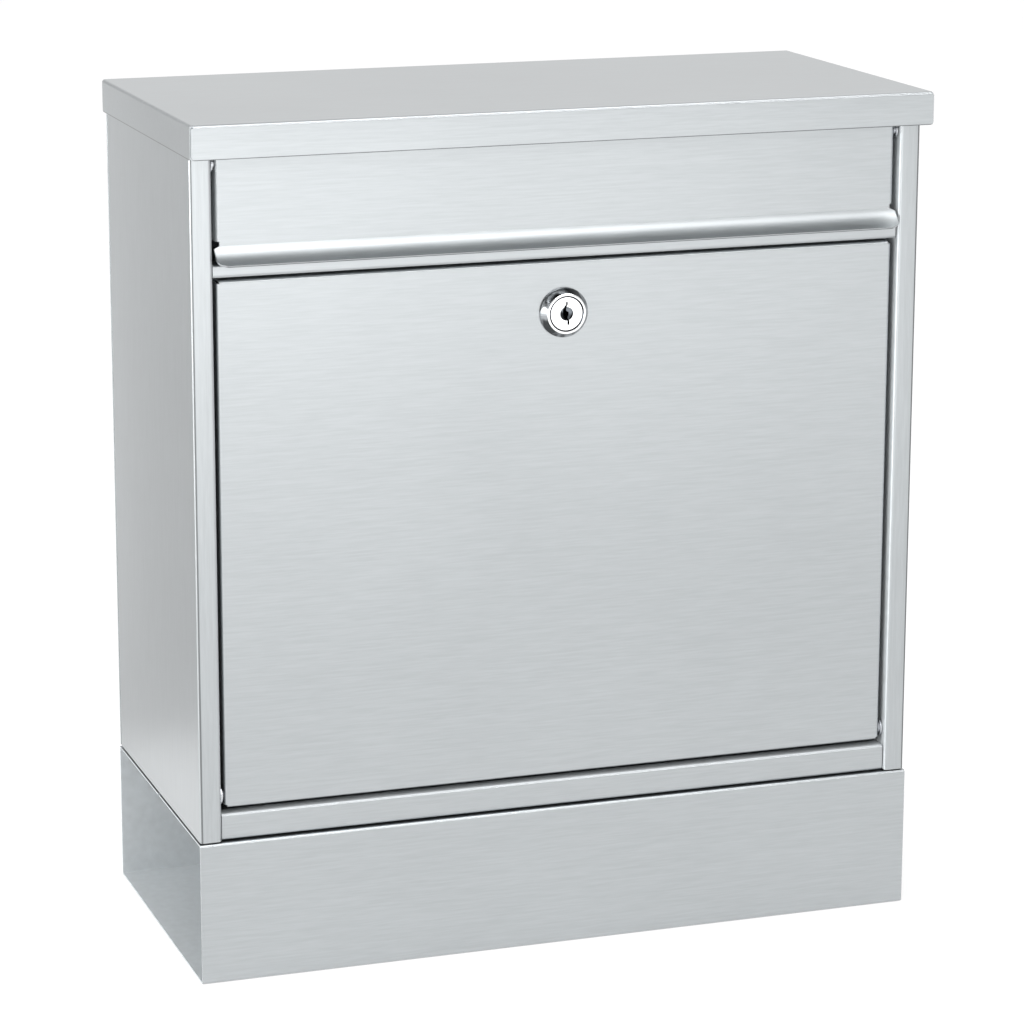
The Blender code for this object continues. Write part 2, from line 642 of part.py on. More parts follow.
def lip_path():
    """Offsets and end spreads of the finger lip, which flares forwards from the flap's bend."""
    steps, path, spreads = LIP_STEPS, [], []
    at = Vector()
    step_length = LIP_LENGTH / steps
    for step in range(steps):
        share = (step + 0.5) / steps
        angle = math.radians(LIP_START_ANGLE + (LIP_END_ANGLE - LIP_START_ANGLE) * share)
        at = at + step_length * (-math.sin(angle) * Y - math.cos(angle) * Z)
        path.append(at)
        from_edge = LIP_LENGTH - (step + 1) * step_length
        inset = 0
        if from_edge < LIP_ROUND:
            inset = LIP_ROUND - math.sqrt(LIP_ROUND**2 - (LIP_ROUND - from_edge) ** 2)
        spreads.append(BEND_RADIUS + LIP_OVERHANG - inset)
    return path, spreads


def sheet_side(bm, x, low):
    """The open edges at one side of the flap's flat face, above a height."""
    found = []
    for edge in bm.edges:
        ends = [vert.co for vert in edge.verts]
        on_side = all(abs(end.x - x) < 1e-6 and abs(end.y - FLAP_Y) < 1e-6 for end in ends)
        if edge.is_boundary and on_side and min(end.z for end in ends) > low - 1e-6:
            found.append(edge)
    return found


def build_flap_panel(pivot):
    half = FLAP_HALF_WIDTH - BEND_RADIUS
    low, high = FLAP_BEND_Z, FLAP_TOP_Z - BEND_RADIUS
    bm = flat_sheet(Vector((0, FLAP_Y, (low + high) / 2)), X, Z, 2 * half, high - low)
    lip_edge = free_edge(bm, -Z)
    draw_out(bm, lip_edge, *lip_path())
    fold(bm, free_edge(bm, Z), Z, Y, FLAP_TOP_FLANGE)
    return_low = low + 2 * SHEET
    split_sheet(bm, (0, 0, return_low), Z)
    for _, side in SIDES:
        fold(bm, sheet_side(bm, side * half, return_low), side * X, Y, FLAP_RETURN)
    obj = add_sheet("flap_panel", bm, -Y, steel, origin=FLAP_AXIS, parent=pivot)
    drill_pin_holes(obj, "flap", FLAP_AXIS, FLAP_HALF_WIDTH, pivot)


# ---------------------------------------------------------------- lock


def build_lock_housing(parent):
    """Escutcheon and threaded barrel. Local Z runs out of the door, from its outer face."""
    bore = PLUG_RADIUS + PLUG_CLEARANCE
    face_bore = PLUG_FACE_RADIUS + PLUG_CLEARANCE
    seat = LOCK_PROTRUSION - PLUG_FACE_DEPTH - 2 * GAP
    profile = [
        (face_bore, LOCK_PROTRUSION),
        (LOCK_FACE_RADIUS, LOCK_PROTRUSION),
        (LOCK_FLANGE_RADIUS, GAP + LOCK_FLANGE_RIM),
        (LOCK_FLANGE_RADIUS, GAP),
        (LOCK_BARREL_RADIUS, GAP),
        (LOCK_BARREL_RADIUS, -LOCK_BARREL_LENGTH),
        (bore, -LOCK_BARREL_LENGTH),
        (bore, seat),
        (face_bore, seat),
    ]
    obj = add_turned(
        "lock_housing", profile, chrome, LOCK_AXIS, LAY_ALONG_MINUS_Y, parent, ROUND_SIDES, ring=True
    )
    for name, side in (("upper", 1), ("lower", -1)):
        near = LOCK_BARREL_FLATS / 2
        far = 2 * LOCK_FLANGE_RADIUS
        heights = sorted((side * near, side * far))
        low = LOCK_AXIS + Vector((-far, -GAP, heights[0]))
        high = LOCK_AXIS + Vector((far, LOCK_BARREL_LENGTH + SHEET, heights[1]))
        flat = add_object(f"barrel_flat_{name}", block(low, high), None, (low + high) / 2, parent)
        cut(obj, make_cutter(flat))


def build_lock_nut(parent):
    centre = LOCK_AXIS + (SHEET + GAP + LOCK_NUT_THICKNESS / 2) * Y
    corner_radius = LOCK_NUT_FLATS / 2 / math.cos(math.radians(30))
    hexagon = cylinder(corner_radius, LOCK_NUT_THICKNESS, centre, Y, 6)
    nut = add_object("lock_nut", hexagon, plated, centre, parent)
    hole = cylinder(LOCK_BARREL_RADIUS + GAP, 2 * LOCK_NUT_THICKNESS, centre, Y, ROUND_SIDES)
    cut(nut, make_cutter(add_object("lock_nut_bore", hole, None, centre, parent)))


def build_lock_plug(parent):
    face = LOCK_PROTRUSION - GAP
    shoulder = face - PLUG_FACE_DEPTH
    body_end = -(LOCK_BARREL_LENGTH + GAP)
    tail_end = body_end - GAP - CAM_THICKNESS
    profile = [
        (0, face),
        (PLUG_FACE_RADIUS - GAP, face),
        (PLUG_FACE_RADIUS, face - GAP),
        (PLUG_FACE_RADIUS, shoulder),
        (PLUG_RADIUS, shoulder),
        (PLUG_RADIUS, body_end),
        (PLUG_TAIL_RADIUS, body_end),
        (PLUG_TAIL_RADIUS, tail_end),
        (0, tail_end),
    ]
    obj = add_turned("lock_plug", profile, chrome, LOCK_AXIS, LAY_ALONG_MINUS_Y, parent, ROUND_SIDES)
    place = LOCK_AXIS - face * Y
    drill(obj, "keyway_dish", KEYWAY_DISH_RADIUS, place, Y, 2 * KEYWAY_DISH_DEPTH, parent)
    half = Vector((KEYWAY_WIDTH / 2, KEYWAY_DEPTH, KEYWAY_HEIGHT / 2))
    keyway = add_object("keyway", block(place - half, place + half), None, place, parent)
    cut(obj, make_cutter(keyway))
    tail = LOCK_AXIS - tail_end * Y
    drill(obj, "cam_screw_hole", CAM_SCREW_RADIUS + GAP, tail, Y, 2 * (CAM_SCREW_LENGTH + GAP), parent)
    for name, side in (("left", LEFT), ("right", RIGHT)):
        across = sorted((side * PLUG_TAIL_FLATS / 2, side * PLUG_RADIUS))
        low = LOCK_AXIS + Vector((across[0], -body_end, -PLUG_RADIUS))
        high = LOCK_AXIS + Vector((across[1], -tail_end + SHEET, PLUG_RADIUS))
        flat = add_object(f"plug_tail_flat_{name}", block(low, high), None, (low + high) / 2, parent)
        cut(obj, make_cutter(flat))


def build_lock_cam(parent):
    """A flat finger with round ends. It lies across the door, and points up when locked."""
    curve = bpy.data.curves.new("lock_cam", "CURVE")
    curve.dimensions = "2D"
    curve.fill_mode = "BOTH"
    curve.extrude = CAM_THICKNESS / 2
    outline = curve.splines.new("POLY")
    half, reach = CAM_WIDTH / 2, CAM_REACH - CAM_WIDTH / 2
    steps, points = 10, []
    for centre, start in ((reach, -90), (0, 90)):
        for step in range(steps + 1):
            angle = math.radians(start + 180 * step / steps)
            points.append((centre + half * math.cos(angle), half * math.sin(angle), 0, 1))
    outline.points.add(len(points) - 1)
    for point, place in zip(outline.points, points):
        point.co = place
    outline.use_cyclic_u = True
    drawn = bpy.data.objects.new("cam_outline", curve)
    mailbox.objects.link(drawn)
    mesh = bpy.data.meshes.new_from_object(drawn.evaluated_get(bpy.context.evaluated_depsgraph_get()))
    bpy.data.objects.remove(drawn, do_unlink=True)
    bm = bmesh.new()
    bm.from_mesh(mesh)
    bpy.data.meshes.remove(mesh)
    bmesh.ops.remove_doubles(bm, verts=bm.verts, dist=1e-6)
    bmesh.ops.rotate(bm, verts=bm.verts, matrix=Matrix.Rotation(math.radians(90), 3, "X"))
    centre = LOCK_AXIS + (CAM_FRONT_Y - DOOR_Y + CAM_THICKNESS / 2) * Y
    bmesh.ops.translate(bm, verts=bm.verts, vec=centre)
    bmesh.ops.recalc_face_normals(bm, faces=bm.faces)
    cam = add_object("lock_cam", bm, plated, centre, parent)
    hole = cylinder(PLUG_TAIL_RADIUS + GAP, 3 * CAM_THICKNESS, (0, 0, 0), Y)
    flatten(hole, 0, PLUG_TAIL_FLATS / 2 + GAP)
    bmesh.ops.translate(hole, verts=hole.verts, vec=centre)
    cut(cam, make_cutter(add_object("cam_hole", hole, None, centre, parent)))


def build_cam_fixings(parent):
    washer_y = CAM_FRONT_Y + CAM_THICKNESS + GAP
    bore = CAM_SCREW_RADIUS + GAP
    profile = [(bore, 0), (CAM_WASHER_RADIUS, 0)]
    profile += [(CAM_WASHER_RADIUS, -CAM_WASHER_THICKNESS), (bore, -CAM_WASHER_THICKNESS)]
    place = (0, washer_y, LOCK_AXIS.z)
    add_turned("cam_washer", profile, plated, place, LAY_ALONG_MINUS_Y, parent, ring=True)

    head_y = washer_y + CAM_WASHER_THICKNESS + GAP
    crown = arc_points(CAM_SCREW_HEAD_RADIUS, CAM_SCREW_HEAD_HEIGHT, 0)
    head = [(radius, -CAM_SCREW_HEAD_HEIGHT - height) for radius, height in reversed(crown)]
    shank_top = CAM_SCREW_LENGTH - CAM_WASHER_THICKNESS
    profile = [(0, shank_top), (CAM_SCREW_RADIUS, shank_top), (CAM_SCREW_RADIUS, 0)]
    profile += head
    place = (0, head_y, LOCK_AXIS.z)
    screw = add_turned("cam_screw", profile, plated, place, LAY_ALONG_MINUS_Y, parent)
    centre = Vector((0, head_y + CAM_SCREW_HEAD_HEIGHT, LOCK_AXIS.z))
    half = Vector((2 * CAM_SCREW_HEAD_RADIUS, CAM_SCREW_SLOT_DEPTH, CAM_SCREW_SLOT_WIDTH / 2))
    slot = add_object("screw_slot", block(centre - half, centre + half), None, centre, parent)
    cut(screw, make_cutter(slot))


# ---------------------------------------------------------------- assembly

clear_scene()
mailbox = new_collection("wall_mounted_mailbox")
cutters = new_collection("cutters")
steel = metal("brushed_stainless", (0.62, 0.63, 0.63), 0.32)
plated = metal("zinc_plated_steel", (0.55, 0.56, 0.57), 0.35)
chrome = metal("chrome", (0.8, 0.81, 0.82), 0.08)
buffer_rubber = rubber("black_rubber")

build_back_panel()
for panel_name, panel_side in SIDES:
    build_side_panel(panel_name, panel_side)
build_floor_pan()
build_slot_rail()
build_roof_lid()
build_roof_fixings()
build_newspaper_sleeve()
build_sleeve_rivets()
build_buffers()

door_pivot = add_pivot("door_pivot", DOOR_AXIS)
build_door_panel(door_pivot)
build_hinge_pins("door", DOOR_AXIS, DOOR_HALF_WIDTH, DOOR_SIDE_GAP, door_pivot)
build_lock_housing(door_pivot)
build_lock_nut(door_pivot)
build_lock_plug(door_pivot)
build_lock_cam(door_pivot)
build_cam_fixings(door_pivot)

flap_pivot = add_pivot("flap_pivot", FLAP_AXIS)
build_flap_panel(flap_pivot)
build_hinge_pins("flap", FLAP_AXIS, FLAP_HALF_WIDTH, FLAP_SIDE_GAP, flap_pivot)
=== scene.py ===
import math

import bmesh
import bpy
from mathutils import Matrix, Vector


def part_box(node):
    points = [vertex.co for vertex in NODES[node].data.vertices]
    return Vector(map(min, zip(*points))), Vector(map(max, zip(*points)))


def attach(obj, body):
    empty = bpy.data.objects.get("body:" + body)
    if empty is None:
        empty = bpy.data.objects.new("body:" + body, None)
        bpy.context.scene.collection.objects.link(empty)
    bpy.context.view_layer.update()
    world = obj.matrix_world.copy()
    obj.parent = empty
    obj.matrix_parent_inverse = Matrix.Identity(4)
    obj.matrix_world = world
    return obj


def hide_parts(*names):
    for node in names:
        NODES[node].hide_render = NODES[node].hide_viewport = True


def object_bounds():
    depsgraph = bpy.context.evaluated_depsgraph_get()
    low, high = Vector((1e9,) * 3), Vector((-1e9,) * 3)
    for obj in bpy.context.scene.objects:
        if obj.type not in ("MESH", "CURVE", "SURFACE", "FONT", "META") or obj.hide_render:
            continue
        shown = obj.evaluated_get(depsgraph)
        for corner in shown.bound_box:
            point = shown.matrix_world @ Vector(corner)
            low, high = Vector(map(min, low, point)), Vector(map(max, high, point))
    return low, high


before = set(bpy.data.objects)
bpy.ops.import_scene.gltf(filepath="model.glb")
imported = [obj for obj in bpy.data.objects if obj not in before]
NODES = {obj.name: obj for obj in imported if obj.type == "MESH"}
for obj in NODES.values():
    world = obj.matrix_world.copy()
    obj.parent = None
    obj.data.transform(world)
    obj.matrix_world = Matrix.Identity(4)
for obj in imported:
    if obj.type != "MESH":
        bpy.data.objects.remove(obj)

MM = 0.001
CAD_BOX = [list(corner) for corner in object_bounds()]
Y, Z = Vector((0, 1, 0)), Vector((0, 0, 1))

# Camera, at the height and side of the reference view
AZIMUTH = -18.27
ELEVATION = 13.06
ROLL = 0.09
DISTANCE = 1732 * MM
AIM_SIDE = -56.8 * MM  # from the case's middle
AIM_RISE = 181.5 * MM  # from the case's lower edge
LENS = 128.7
SHIFT = 0.0586

# Finish of the sheet
EDGE_ROUND = 0.18 * MM
HALF_SHEET = 0.45 * MM
FLAP_RECESS = 2.4 * MM  # of the flap's face behind the case's front
STEEL_TINT = (0.432, 0.453, 0.464)
STREAK = 0.045
# Edges darkened partly as wear and partly as painted shade in creases and under rims
EDGE_WEAR_AND_SHADE_WIDTH = 0.5 * MM
EDGE_WEAR_AND_SHADE_DEPTH = 0.55
# Painted shade lines: dark bands painted along the flap's sides and lower edge, under the roof's front lip
# and in the side panels' front bends
SHADE_LINE_WIDTH = 0.55 * MM
SHADE_LINE_DEPTH = 0.6
CORNER_SHADE_LINE = 0.9 * MM  # from the side panels' outer faces
ROUGHNESS = 0.30
GLOSS_SPREAD = 0.012
MILL_METAL = 0.5
# Inner faces coloured lighter than the brushed outside: painted light in the hollows, besides the duller
# real finish
MILL_PAINTED_LIGHT_SHADES = (1.20, 1.32)
MILL_ROUGHNESS = (0.46, 0.54)
FINE_ACROSS, FINE_ALONG = 1700.0, 90.0  # noise scales, per metre
COARSE_ACROSS, COARSE_ALONG = 900.0, 35.0
CLOUD_SCALE = 7.0
MILL_SCALE = 240.0
NOISE_SPAN = (0.3, 0.7)  # where most of a noise's values lie
BRUSHING_SPAN = (0.36, 0.64)
CLOUD_SHADE = 0.02
STEEL_RELIEF = 0.003
RELIEF_DISTANCE = 0.1 * MM
EDGE_SAMPLES = 6
EDGE_SPAN = (0.75, 0.98)  # how far the rounded normal agrees with the true one
PAST_EVERYTHING = 1.0
WELD_DISTANCE = 0.005 * MM
SHARP_FROM = 35  # degrees

# Finish of the fasteners, the buffers and the lock
PLATING_TINT = (0.56, 0.575, 0.60)
PLATING_SCALE = 700.0
PLATING_SHADES = (0.90, 1.06)
PLATING_ROUGHNESS = (0.24, 0.40)
RUBBER_SCALE = 1800.0
RUBBER_SHADES = (0.022, 0.040)
RUBBER_ROUGHNESS = (0.62, 0.80)
RUBBER_RELIEF = 0.3
RUBBER_RELIEF_DISTANCE = 0.05 * MM
PATCH_SCALE = 210.0
PATCH_SPAN = (0.42, 0.58)
HAZE_SCALE = 900.0
HAZE_SPREAD = 0.03

# Lock. Heights count out of the door, from its outer face.
LOCK_RISE = 4.8 * MM
RIM_RADIUS = 12 * MM
RIM_HEIGHT = 1.2 * MM
RIM_SEAT = 0.3 * MM
RING_RADIUS = 9.7 * MM
PLUG_BORE = 8.45 * MM
PLUG_RADIUS = 8.2 * MM
PLUG_BODY_RADIUS = 6.0 * MM
SEAT_HEIGHT = 1.2 * MM
BARREL_RADIUS = 9.2 * MM
BARREL_BORE = 6.25 * MM
BARREL_LENGTH = 18 * MM
BARREL_HALF_FLATS = 8 * MM
THREAD_START = 1.2 * MM
THREAD_PITCH = 1.0 * MM
THREAD_DEPTH = 0.45 * MM
TAIL_RADIUS = 3.5 * MM
TAIL_LENGTH = 2.3 * MM
TAIL_HALF_FLATS = 2.7 * MM
DISH_RADIUS = 3.3 * MM
DISH_DEPTH = 1.2 * MM
KEYWAY_DEPTH = 8 * MM
KEYWAY_OUTLINE = (  # sideways and up from the axis, in mm
    (-0.35, 5.7),
    (0.55, 5.7),
    (0.55, 4.4),
    (0.1, 3.8),
    (0.1, 1.4),
    (1.3, 0.6),
    (1.3, -0.8),
    (0.7, -1.8),
    (1.4, -3.4),
    (1.4, -5.4),
    (0.4, -5.4),
    (0.4, -3.4),
    (-1.0, -2.4),
    (-1.6, -1.0),
    (-1.6, 1.8),
    (-1.2, 3.6),
    (-0.35, 4.4),
)
LOCK_STEPS = 96
DISH_STEPS = 48
LOCK_SHARP_FROM = 32  # degrees
PLUG_SINK = 0.3 * MM  # of the plug's face below the ring round it
PLUG_GAP = 0.3 * MM
RING_CHAMFER = 0.25 * MM

# Studio
FLOOR_HALF = 12.0
FLOOR_DROP = 0.2 * MM
FLOOR_GREY = 0.35
FLAG_GREY = 0.40
MATT = 0.9
FLOOR_GLOW = 0.65
POOL_GLOW = 3.0
POOL_PLACE = (-0.15, -3.2)
POOL_RADIUS = 2.4
SURROUND = 0.92
BACK_LEFT_SHADE = 0.35
SHADE_LEFT = (-0.45, 0.05)  # full shade and none, across the surround
SHADE_BACK = (0.3, 0.6)  # none and full shade
FLAG_LEFT, FLAG_RIGHT, FLAG_TOP, FLAG_Y = -0.9, -0.25, 0.40, 0.22
SOFTBOXES = (  # name, place, target, width, height, power
    ("left_box", (-2.0, -0.5, 0.55), (0, 0, -0.1), 2.0, 1.5, 72),
    ("high_box", (0.5, -2.3, 1.2), (0, 0, 0), 1.8, 0.35, 11),
    ("overhead_box", (0.45, -0.8, 2.1), (0.1, 0, 0), 1.5, 0.7, 13),
    ("back_box", (0.8, 2.2, 1.3), (0, 0, 0.1), 1.6, 1.0, 1),
)
SHEET_NODES = (
    "back_panel",
    "left_side_panel",
    "right_side_panel",
    "floor_pan",
    "slot_rail",
    "roof_lid",
    "newspaper_sleeve",
    "door_panel",
    "flap_panel",
)


# ---------------------------------------------------------------- materials


def new_material(name):
    material = bpy.data.materials.new(name)
    material.use_nodes = True
    return material, material.node_tree.nodes, material.node_tree.links


def set_surface(nodes, **values):
    surface = nodes["Principled BSDF"]
    for name, value in values.items():
        surface.inputs[name.replace("_", " ")].default_value = value
    return surface


def stretched_noise(nodes, links, scale, detail=2.0):
    """Noise on object coordinates, stretched by a scale for each axis."""
    place = nodes.new("ShaderNodeTexCoord")
    stretch = nodes.new("ShaderNodeMapping")
    stretch.inputs["Scale"].default_value = scale
    noise = nodes.new("ShaderNodeTexNoise")
    noise.inputs["Scale"].default_value = 1.0
    noise.inputs["Detail"].default_value = detail
    links.new(place.outputs["Object"], stretch.inputs["Vector"])
    links.new(stretch.outputs["Vector"], noise.inputs["Vector"])
    return noise.outputs["Fac"]


def feed(links, socket, value):
    if isinstance(value, (int, float)):
        socket.default_value = value
    else:
        links.new(value, socket)


def ramp(nodes, links, value, low, high, dark, light):
    node = nodes.new("ShaderNodeMapRange")
    node.inputs["From Min"].default_value = low
    node.inputs["From Max"].default_value = high
    node.inputs["To Min"].default_value = dark
    node.inputs["To Max"].default_value = light
    links.new(value, node.inputs["Value"])
    return node.outputs["Result"]


def math_node(nodes, links, operation, first, second):
    node = nodes.new("ShaderNodeMath")
    node.operation = operation
    for socket, value in zip(node.inputs, (first, second)):
        feed(links, socket, value)
    return node.outputs["Value"]


def skin_box(low, high, open_sides=()):
    """Corners of a box half a sheet inside low and high.

    An open side, such as "+y", reaches past everything.
    """
    far = PAST_EVERYTHING
    low, high = Vector(low), Vector(high)
    for index, axis in enumerate("xyz"):
        low[index] = low[index] + HALF_SHEET if "-" + axis not in open_sides else -far
        high[index] = high[index] - HALF_SHEET if "+" + axis not in open_sides else far
    return low, high


def inside_box(nodes, links, box):
    """1 inside the box and 0 outside it, on object coordinates."""
    place = nodes.new("ShaderNodeTexCoord")
    split = nodes.new("ShaderNodeSeparateXYZ")
    links.new(place.outputs["Object"], split.inputs["Vector"])
    inside = 1
    for axis, low, high in zip("XYZ", *box):
        above = math_node(nodes, links, "GREATER_THAN", split.outputs[axis], low)
        below = math_node(nodes, links, "LESS_THAN", split.outputs[axis], high)
        between = math_node(nodes, links, "MULTIPLY", above, below)
        inside = math_node(nodes, links, "MULTIPLY", inside, between)
    return inside


def mix_values(nodes, links, factor, first, second):
    """first where factor is 0 and second where it is 1."""
    node = nodes.new("ShaderNodeMix")
    node.clamp_factor = True
    sockets = (node.inputs[0], node.inputs[2], node.inputs[3])
    for socket, value in zip(sockets, (factor, first, second)):
        feed(links, socket, value)
    return node.outputs[0]


def edge_line(nodes, links, radius, depth):
    """1 on open faces, falling by up to depth along the sharp edges: partly wear on the rims, partly painted
    shade in the creases and under the lips.
    """
    rounded = nodes.new("ShaderNodeBevel")
    rounded.samples = EDGE_SAMPLES
    rounded.inputs["Radius"].default_value = radius
    geometry = nodes.new("ShaderNodeNewGeometry")
    product = nodes.new("ShaderNodeVectorMath")
    product.operation = "DOT_PRODUCT"
    links.new(rounded.outputs["Normal"], product.inputs[0])
    links.new(geometry.outputs["True Normal"], product.inputs[1])
    return ramp(nodes, links, product.outputs["Value"], *EDGE_SPAN, 1 - depth, 1.0)


def scaled_colour(nodes, links, colour, factor):
    node = nodes.new("ShaderNodeVectorMath")
    node.operation = "SCALE"
    node.inputs[0].default_value = colour
    links.new(factor, node.inputs["Scale"])
    return node.outputs["Vector"]


def painted_shade_line(nodes, links, axis, place):
    """1 everywhere but in a narrow band across an axis, darkened there as a painted shade line along a fold
    or a cut edge.
    """
    coordinates = nodes.new("ShaderNodeTexCoord")
    split = nodes.new("ShaderNodeSeparateXYZ")
    links.new(coordinates.outputs["Object"], split.inputs["Vector"])
    offset = math_node(nodes, links, "SUBTRACT", split.outputs[axis], place)
    distance = math_node(nodes, links, "ABSOLUTE", offset, 0)
    return ramp(nodes, links, distance, SHADE_LINE_WIDTH / 2, SHADE_LINE_WIDTH, 1 - SHADE_LINE_DEPTH, 1.0)


def add_relief(nodes, links, surface, height, strength, distance):
    bump = nodes.new("ShaderNodeBump")
    bump.inputs["Strength"].default_value = strength
    bump.inputs["Distance"].default_value = distance
    links.new(height, bump.inputs["Height"])
    links.new(bump.outputs["Normal"], surface.inputs["Normal"])


def brushed_steel(name, along, inner=None, shade_lines_at=()):
    """Satin stainless brushed along one axis. Inside the inner box the sheet keeps its dull mill finish, its
    colour painted lighter than outside as painted light in the hollows.
    """
    material, nodes, links = new_material(name)
    surface = set_surface(nodes, Metallic=1.0)
    fine, coarse = [FINE_ACROSS] * 3, [COARSE_ACROSS] * 3
    fine[along], coarse[along] = FINE_ALONG, COARSE_ALONG
    fine_noise = stretched_noise(nodes, links, fine, 3.0)
    coarse_noise = stretched_noise(nodes, links, coarse, 2.0)
    clouds = stretched_noise(nodes, links, (CLOUD_SCALE,) * 3, 3.0)
    mill = stretched_noise(nodes, links, (MILL_SCALE,) * 3, 5.0)

    lines = math_node(nodes, links, "MULTIPLY", fine_noise, 0.5)
    bands = math_node(nodes, links, "MULTIPLY", coarse_noise, 0.5)
    brushing = math_node(nodes, links, "ADD", lines, bands)
    shade = ramp(nodes, links, brushing, *BRUSHING_SPAN, 1 - STREAK, 1 + STREAK)
    clouding = ramp(nodes, links, clouds, *NOISE_SPAN, 1 - CLOUD_SHADE, 1 + CLOUD_SHADE)
    shade = math_node(nodes, links, "MULTIPLY", shade, clouding)
    gloss = ramp(nodes, links, brushing, *NOISE_SPAN, ROUGHNESS - GLOSS_SPREAD, ROUGHNESS + GLOSS_SPREAD)
    # Sharp edges darkened, partly as wear and partly as painted shade in creases and under rims
    shade = math_node(nodes, links, "MULTIPLY", shade, edge_line(nodes, links, EDGE_WEAR_AND_SHADE_WIDTH, EDGE_WEAR_AND_SHADE_DEPTH))
    # Painted shade lines across the given places
    for axis, place in shade_lines_at:
        shade = math_node(nodes, links, "MULTIPLY", shade, painted_shade_line(nodes, links, axis, place))
    relief = brushing
    if inner:
        mask = inside_box(nodes, links, inner)
        # Painted light: the hollows' mill finish is coloured lighter than the brushed outside
        shade = mix_values(nodes, links, mask, shade, ramp(nodes, links, mill, *NOISE_SPAN, *MILL_PAINTED_LIGHT_SHADES))
        gloss = mix_values(nodes, links, mask, gloss, ramp(nodes, links, mill, *NOISE_SPAN, *MILL_ROUGHNESS))
        relief = mix_values(nodes, links, mask, brushing, mill)
        links.new(ramp(nodes, links, mask, 0.0, 1.0, 1.0, MILL_METAL), surface.inputs["Metallic"])
    links.new(scaled_colour(nodes, links, STEEL_TINT, shade), surface.inputs["Base Color"])
    links.new(gloss, surface.inputs["Roughness"])
    add_relief(nodes, links, surface, relief, STEEL_RELIEF, RELIEF_DISTANCE)
    return material


def chrome(name, tint, low=1.0, high=1.0, roughness=0.07):
    """Plating. low and high scale its tint from patch to patch; at full tint it is bright, and scaled far
    down it gives painted dark reflections on the lock's cone and painted shade in its recesses.
    """
    material, nodes, links = new_material(name)
    surface = set_surface(nodes, Metallic=1.0)
    patches = stretched_noise(nodes, links, (PATCH_SCALE,) * 3, 1.0)
    haze = stretched_noise(nodes, links, (HAZE_SCALE,) * 3, 4.0)
    shade = ramp(nodes, links, patches, *PATCH_SPAN, low, high)
    links.new(scaled_colour(nodes, links, tint, shade), surface.inputs["Base Color"])
    smooth, rough = roughness - HAZE_SPREAD, roughness + HAZE_SPREAD
    gloss = ramp(nodes, links, haze, *NOISE_SPAN, smooth, rough)
    links.new(gloss, surface.inputs["Roughness"])
    return material


def plated_steel(name):
    material, nodes, links = new_material(name)
    surface = set_surface(nodes, Metallic=1.0)
    mottle = stretched_noise(nodes, links, (PLATING_SCALE,) * 3, 4.0)
    shade = ramp(nodes, links, mottle, *NOISE_SPAN, *PLATING_SHADES)
    links.new(scaled_colour(nodes, links, PLATING_TINT, shade), surface.inputs["Base Color"])
    gloss = ramp(nodes, links, mottle, *NOISE_SPAN, *PLATING_ROUGHNESS)
    links.new(gloss, surface.inputs["Roughness"])
    return material


def black_rubber(name):
    material, nodes, links = new_material(name)
    surface = set_surface(nodes, Metallic=0.0)
    grain = stretched_noise(nodes, links, (RUBBER_SCALE,) * 3, 3.0)
    shade = ramp(nodes, links, grain, *NOISE_SPAN, *RUBBER_SHADES)
    colour = nodes.new("ShaderNodeCombineColor")
    for socket in colour.inputs:
        links.new(shade, socket)
    links.new(colour.outputs["Color"], surface.inputs["Base Color"])
    gloss = ramp(nodes, links, grain, *NOISE_SPAN, *RUBBER_ROUGHNESS)
    links.new(gloss, surface.inputs["Roughness"])
    add_relief(nodes, links, surface, grain, RUBBER_RELIEF, RUBBER_RELIEF_DISTANCE)
    return material


# ---------------------------------------------------------------- finish of the CAD nodes


def paint(obj, material):
    obj.data.materials.clear()
    obj.data.materials.append(material)


def ease_edges(obj, width, segments=2):
    """Welds the node's faces together, rounds its sharp edges and shades its bends smooth."""
    for polygon in obj.data.polygons:
        polygon.use_smooth = True
    weld = obj.modifiers.new("Weld", "WELD")
    weld.merge_threshold = WELD_DISTANCE
    bevel = obj.modifiers.new("Eased edges", "BEVEL")
    bevel.width = width
    bevel.segments = segments
    bevel.limit_method = "ANGLE"
    bevel.angle_limit = math.radians(SHARP_FROM)
    bevel.use_clamp_overlap = True
    shading = obj.modifiers.new("Flat faces stay flat", "WEIGHTED_NORMAL")
    shading.weight = 100
    shading.keep_sharp = True


# ---------------------------------------------------------------- lock


def new_piece(name, bm, *materials):
    mesh = bpy.data.meshes.new(name)
    bm.to_mesh(mesh)
    bm.free()
    piece = bpy.data.objects.new(name, mesh)
    bpy.context.scene.collection.objects.link(piece)
    for material in materials:
        mesh.materials.append(material)
    return piece


def turned_shape(profile, centre, steps=LOCK_STEPS):
    """Turns a closed profile of (radius, height) points round the lock's axis.

    Height runs out of the door.
    """
    bm = bmesh.new()
    points = [bm.verts.new(centre + Vector((radius, -height, 0))) for radius, height in profile]
    edges = [bm.edges.new(pair) for pair in zip(points, points[1:])]
    if profile[0][0] > 0:
        edges.append(bm.edges.new((points[-1], points[0])))
    bmesh.ops.spin(bm, geom=edges, cent=centre, axis=Y, angle=math.tau, steps=steps, use_merge=True)
    bmesh.ops.remove_doubles(bm, verts=bm.verts, dist=0.001 * MM)
    bmesh.ops.recalc_face_normals(bm, faces=bm.faces)
    return bm


def press_flats(bm, axis, centre, half, beyond):
    """Flattens a turned shape to half on each side of its axis, for points behind a place on Y."""
    for vert in bm.verts:
        if vert.co.y > beyond:
            offset = max(-half, min(half, vert.co[axis] - centre[axis]))
            vert.co[axis] = centre[axis] + offset


def shade_by_angle(piece):
    piece.data.shade_smooth()
    piece.data.set_sharp_from_angle(angle=math.radians(LOCK_SHARP_FROM))


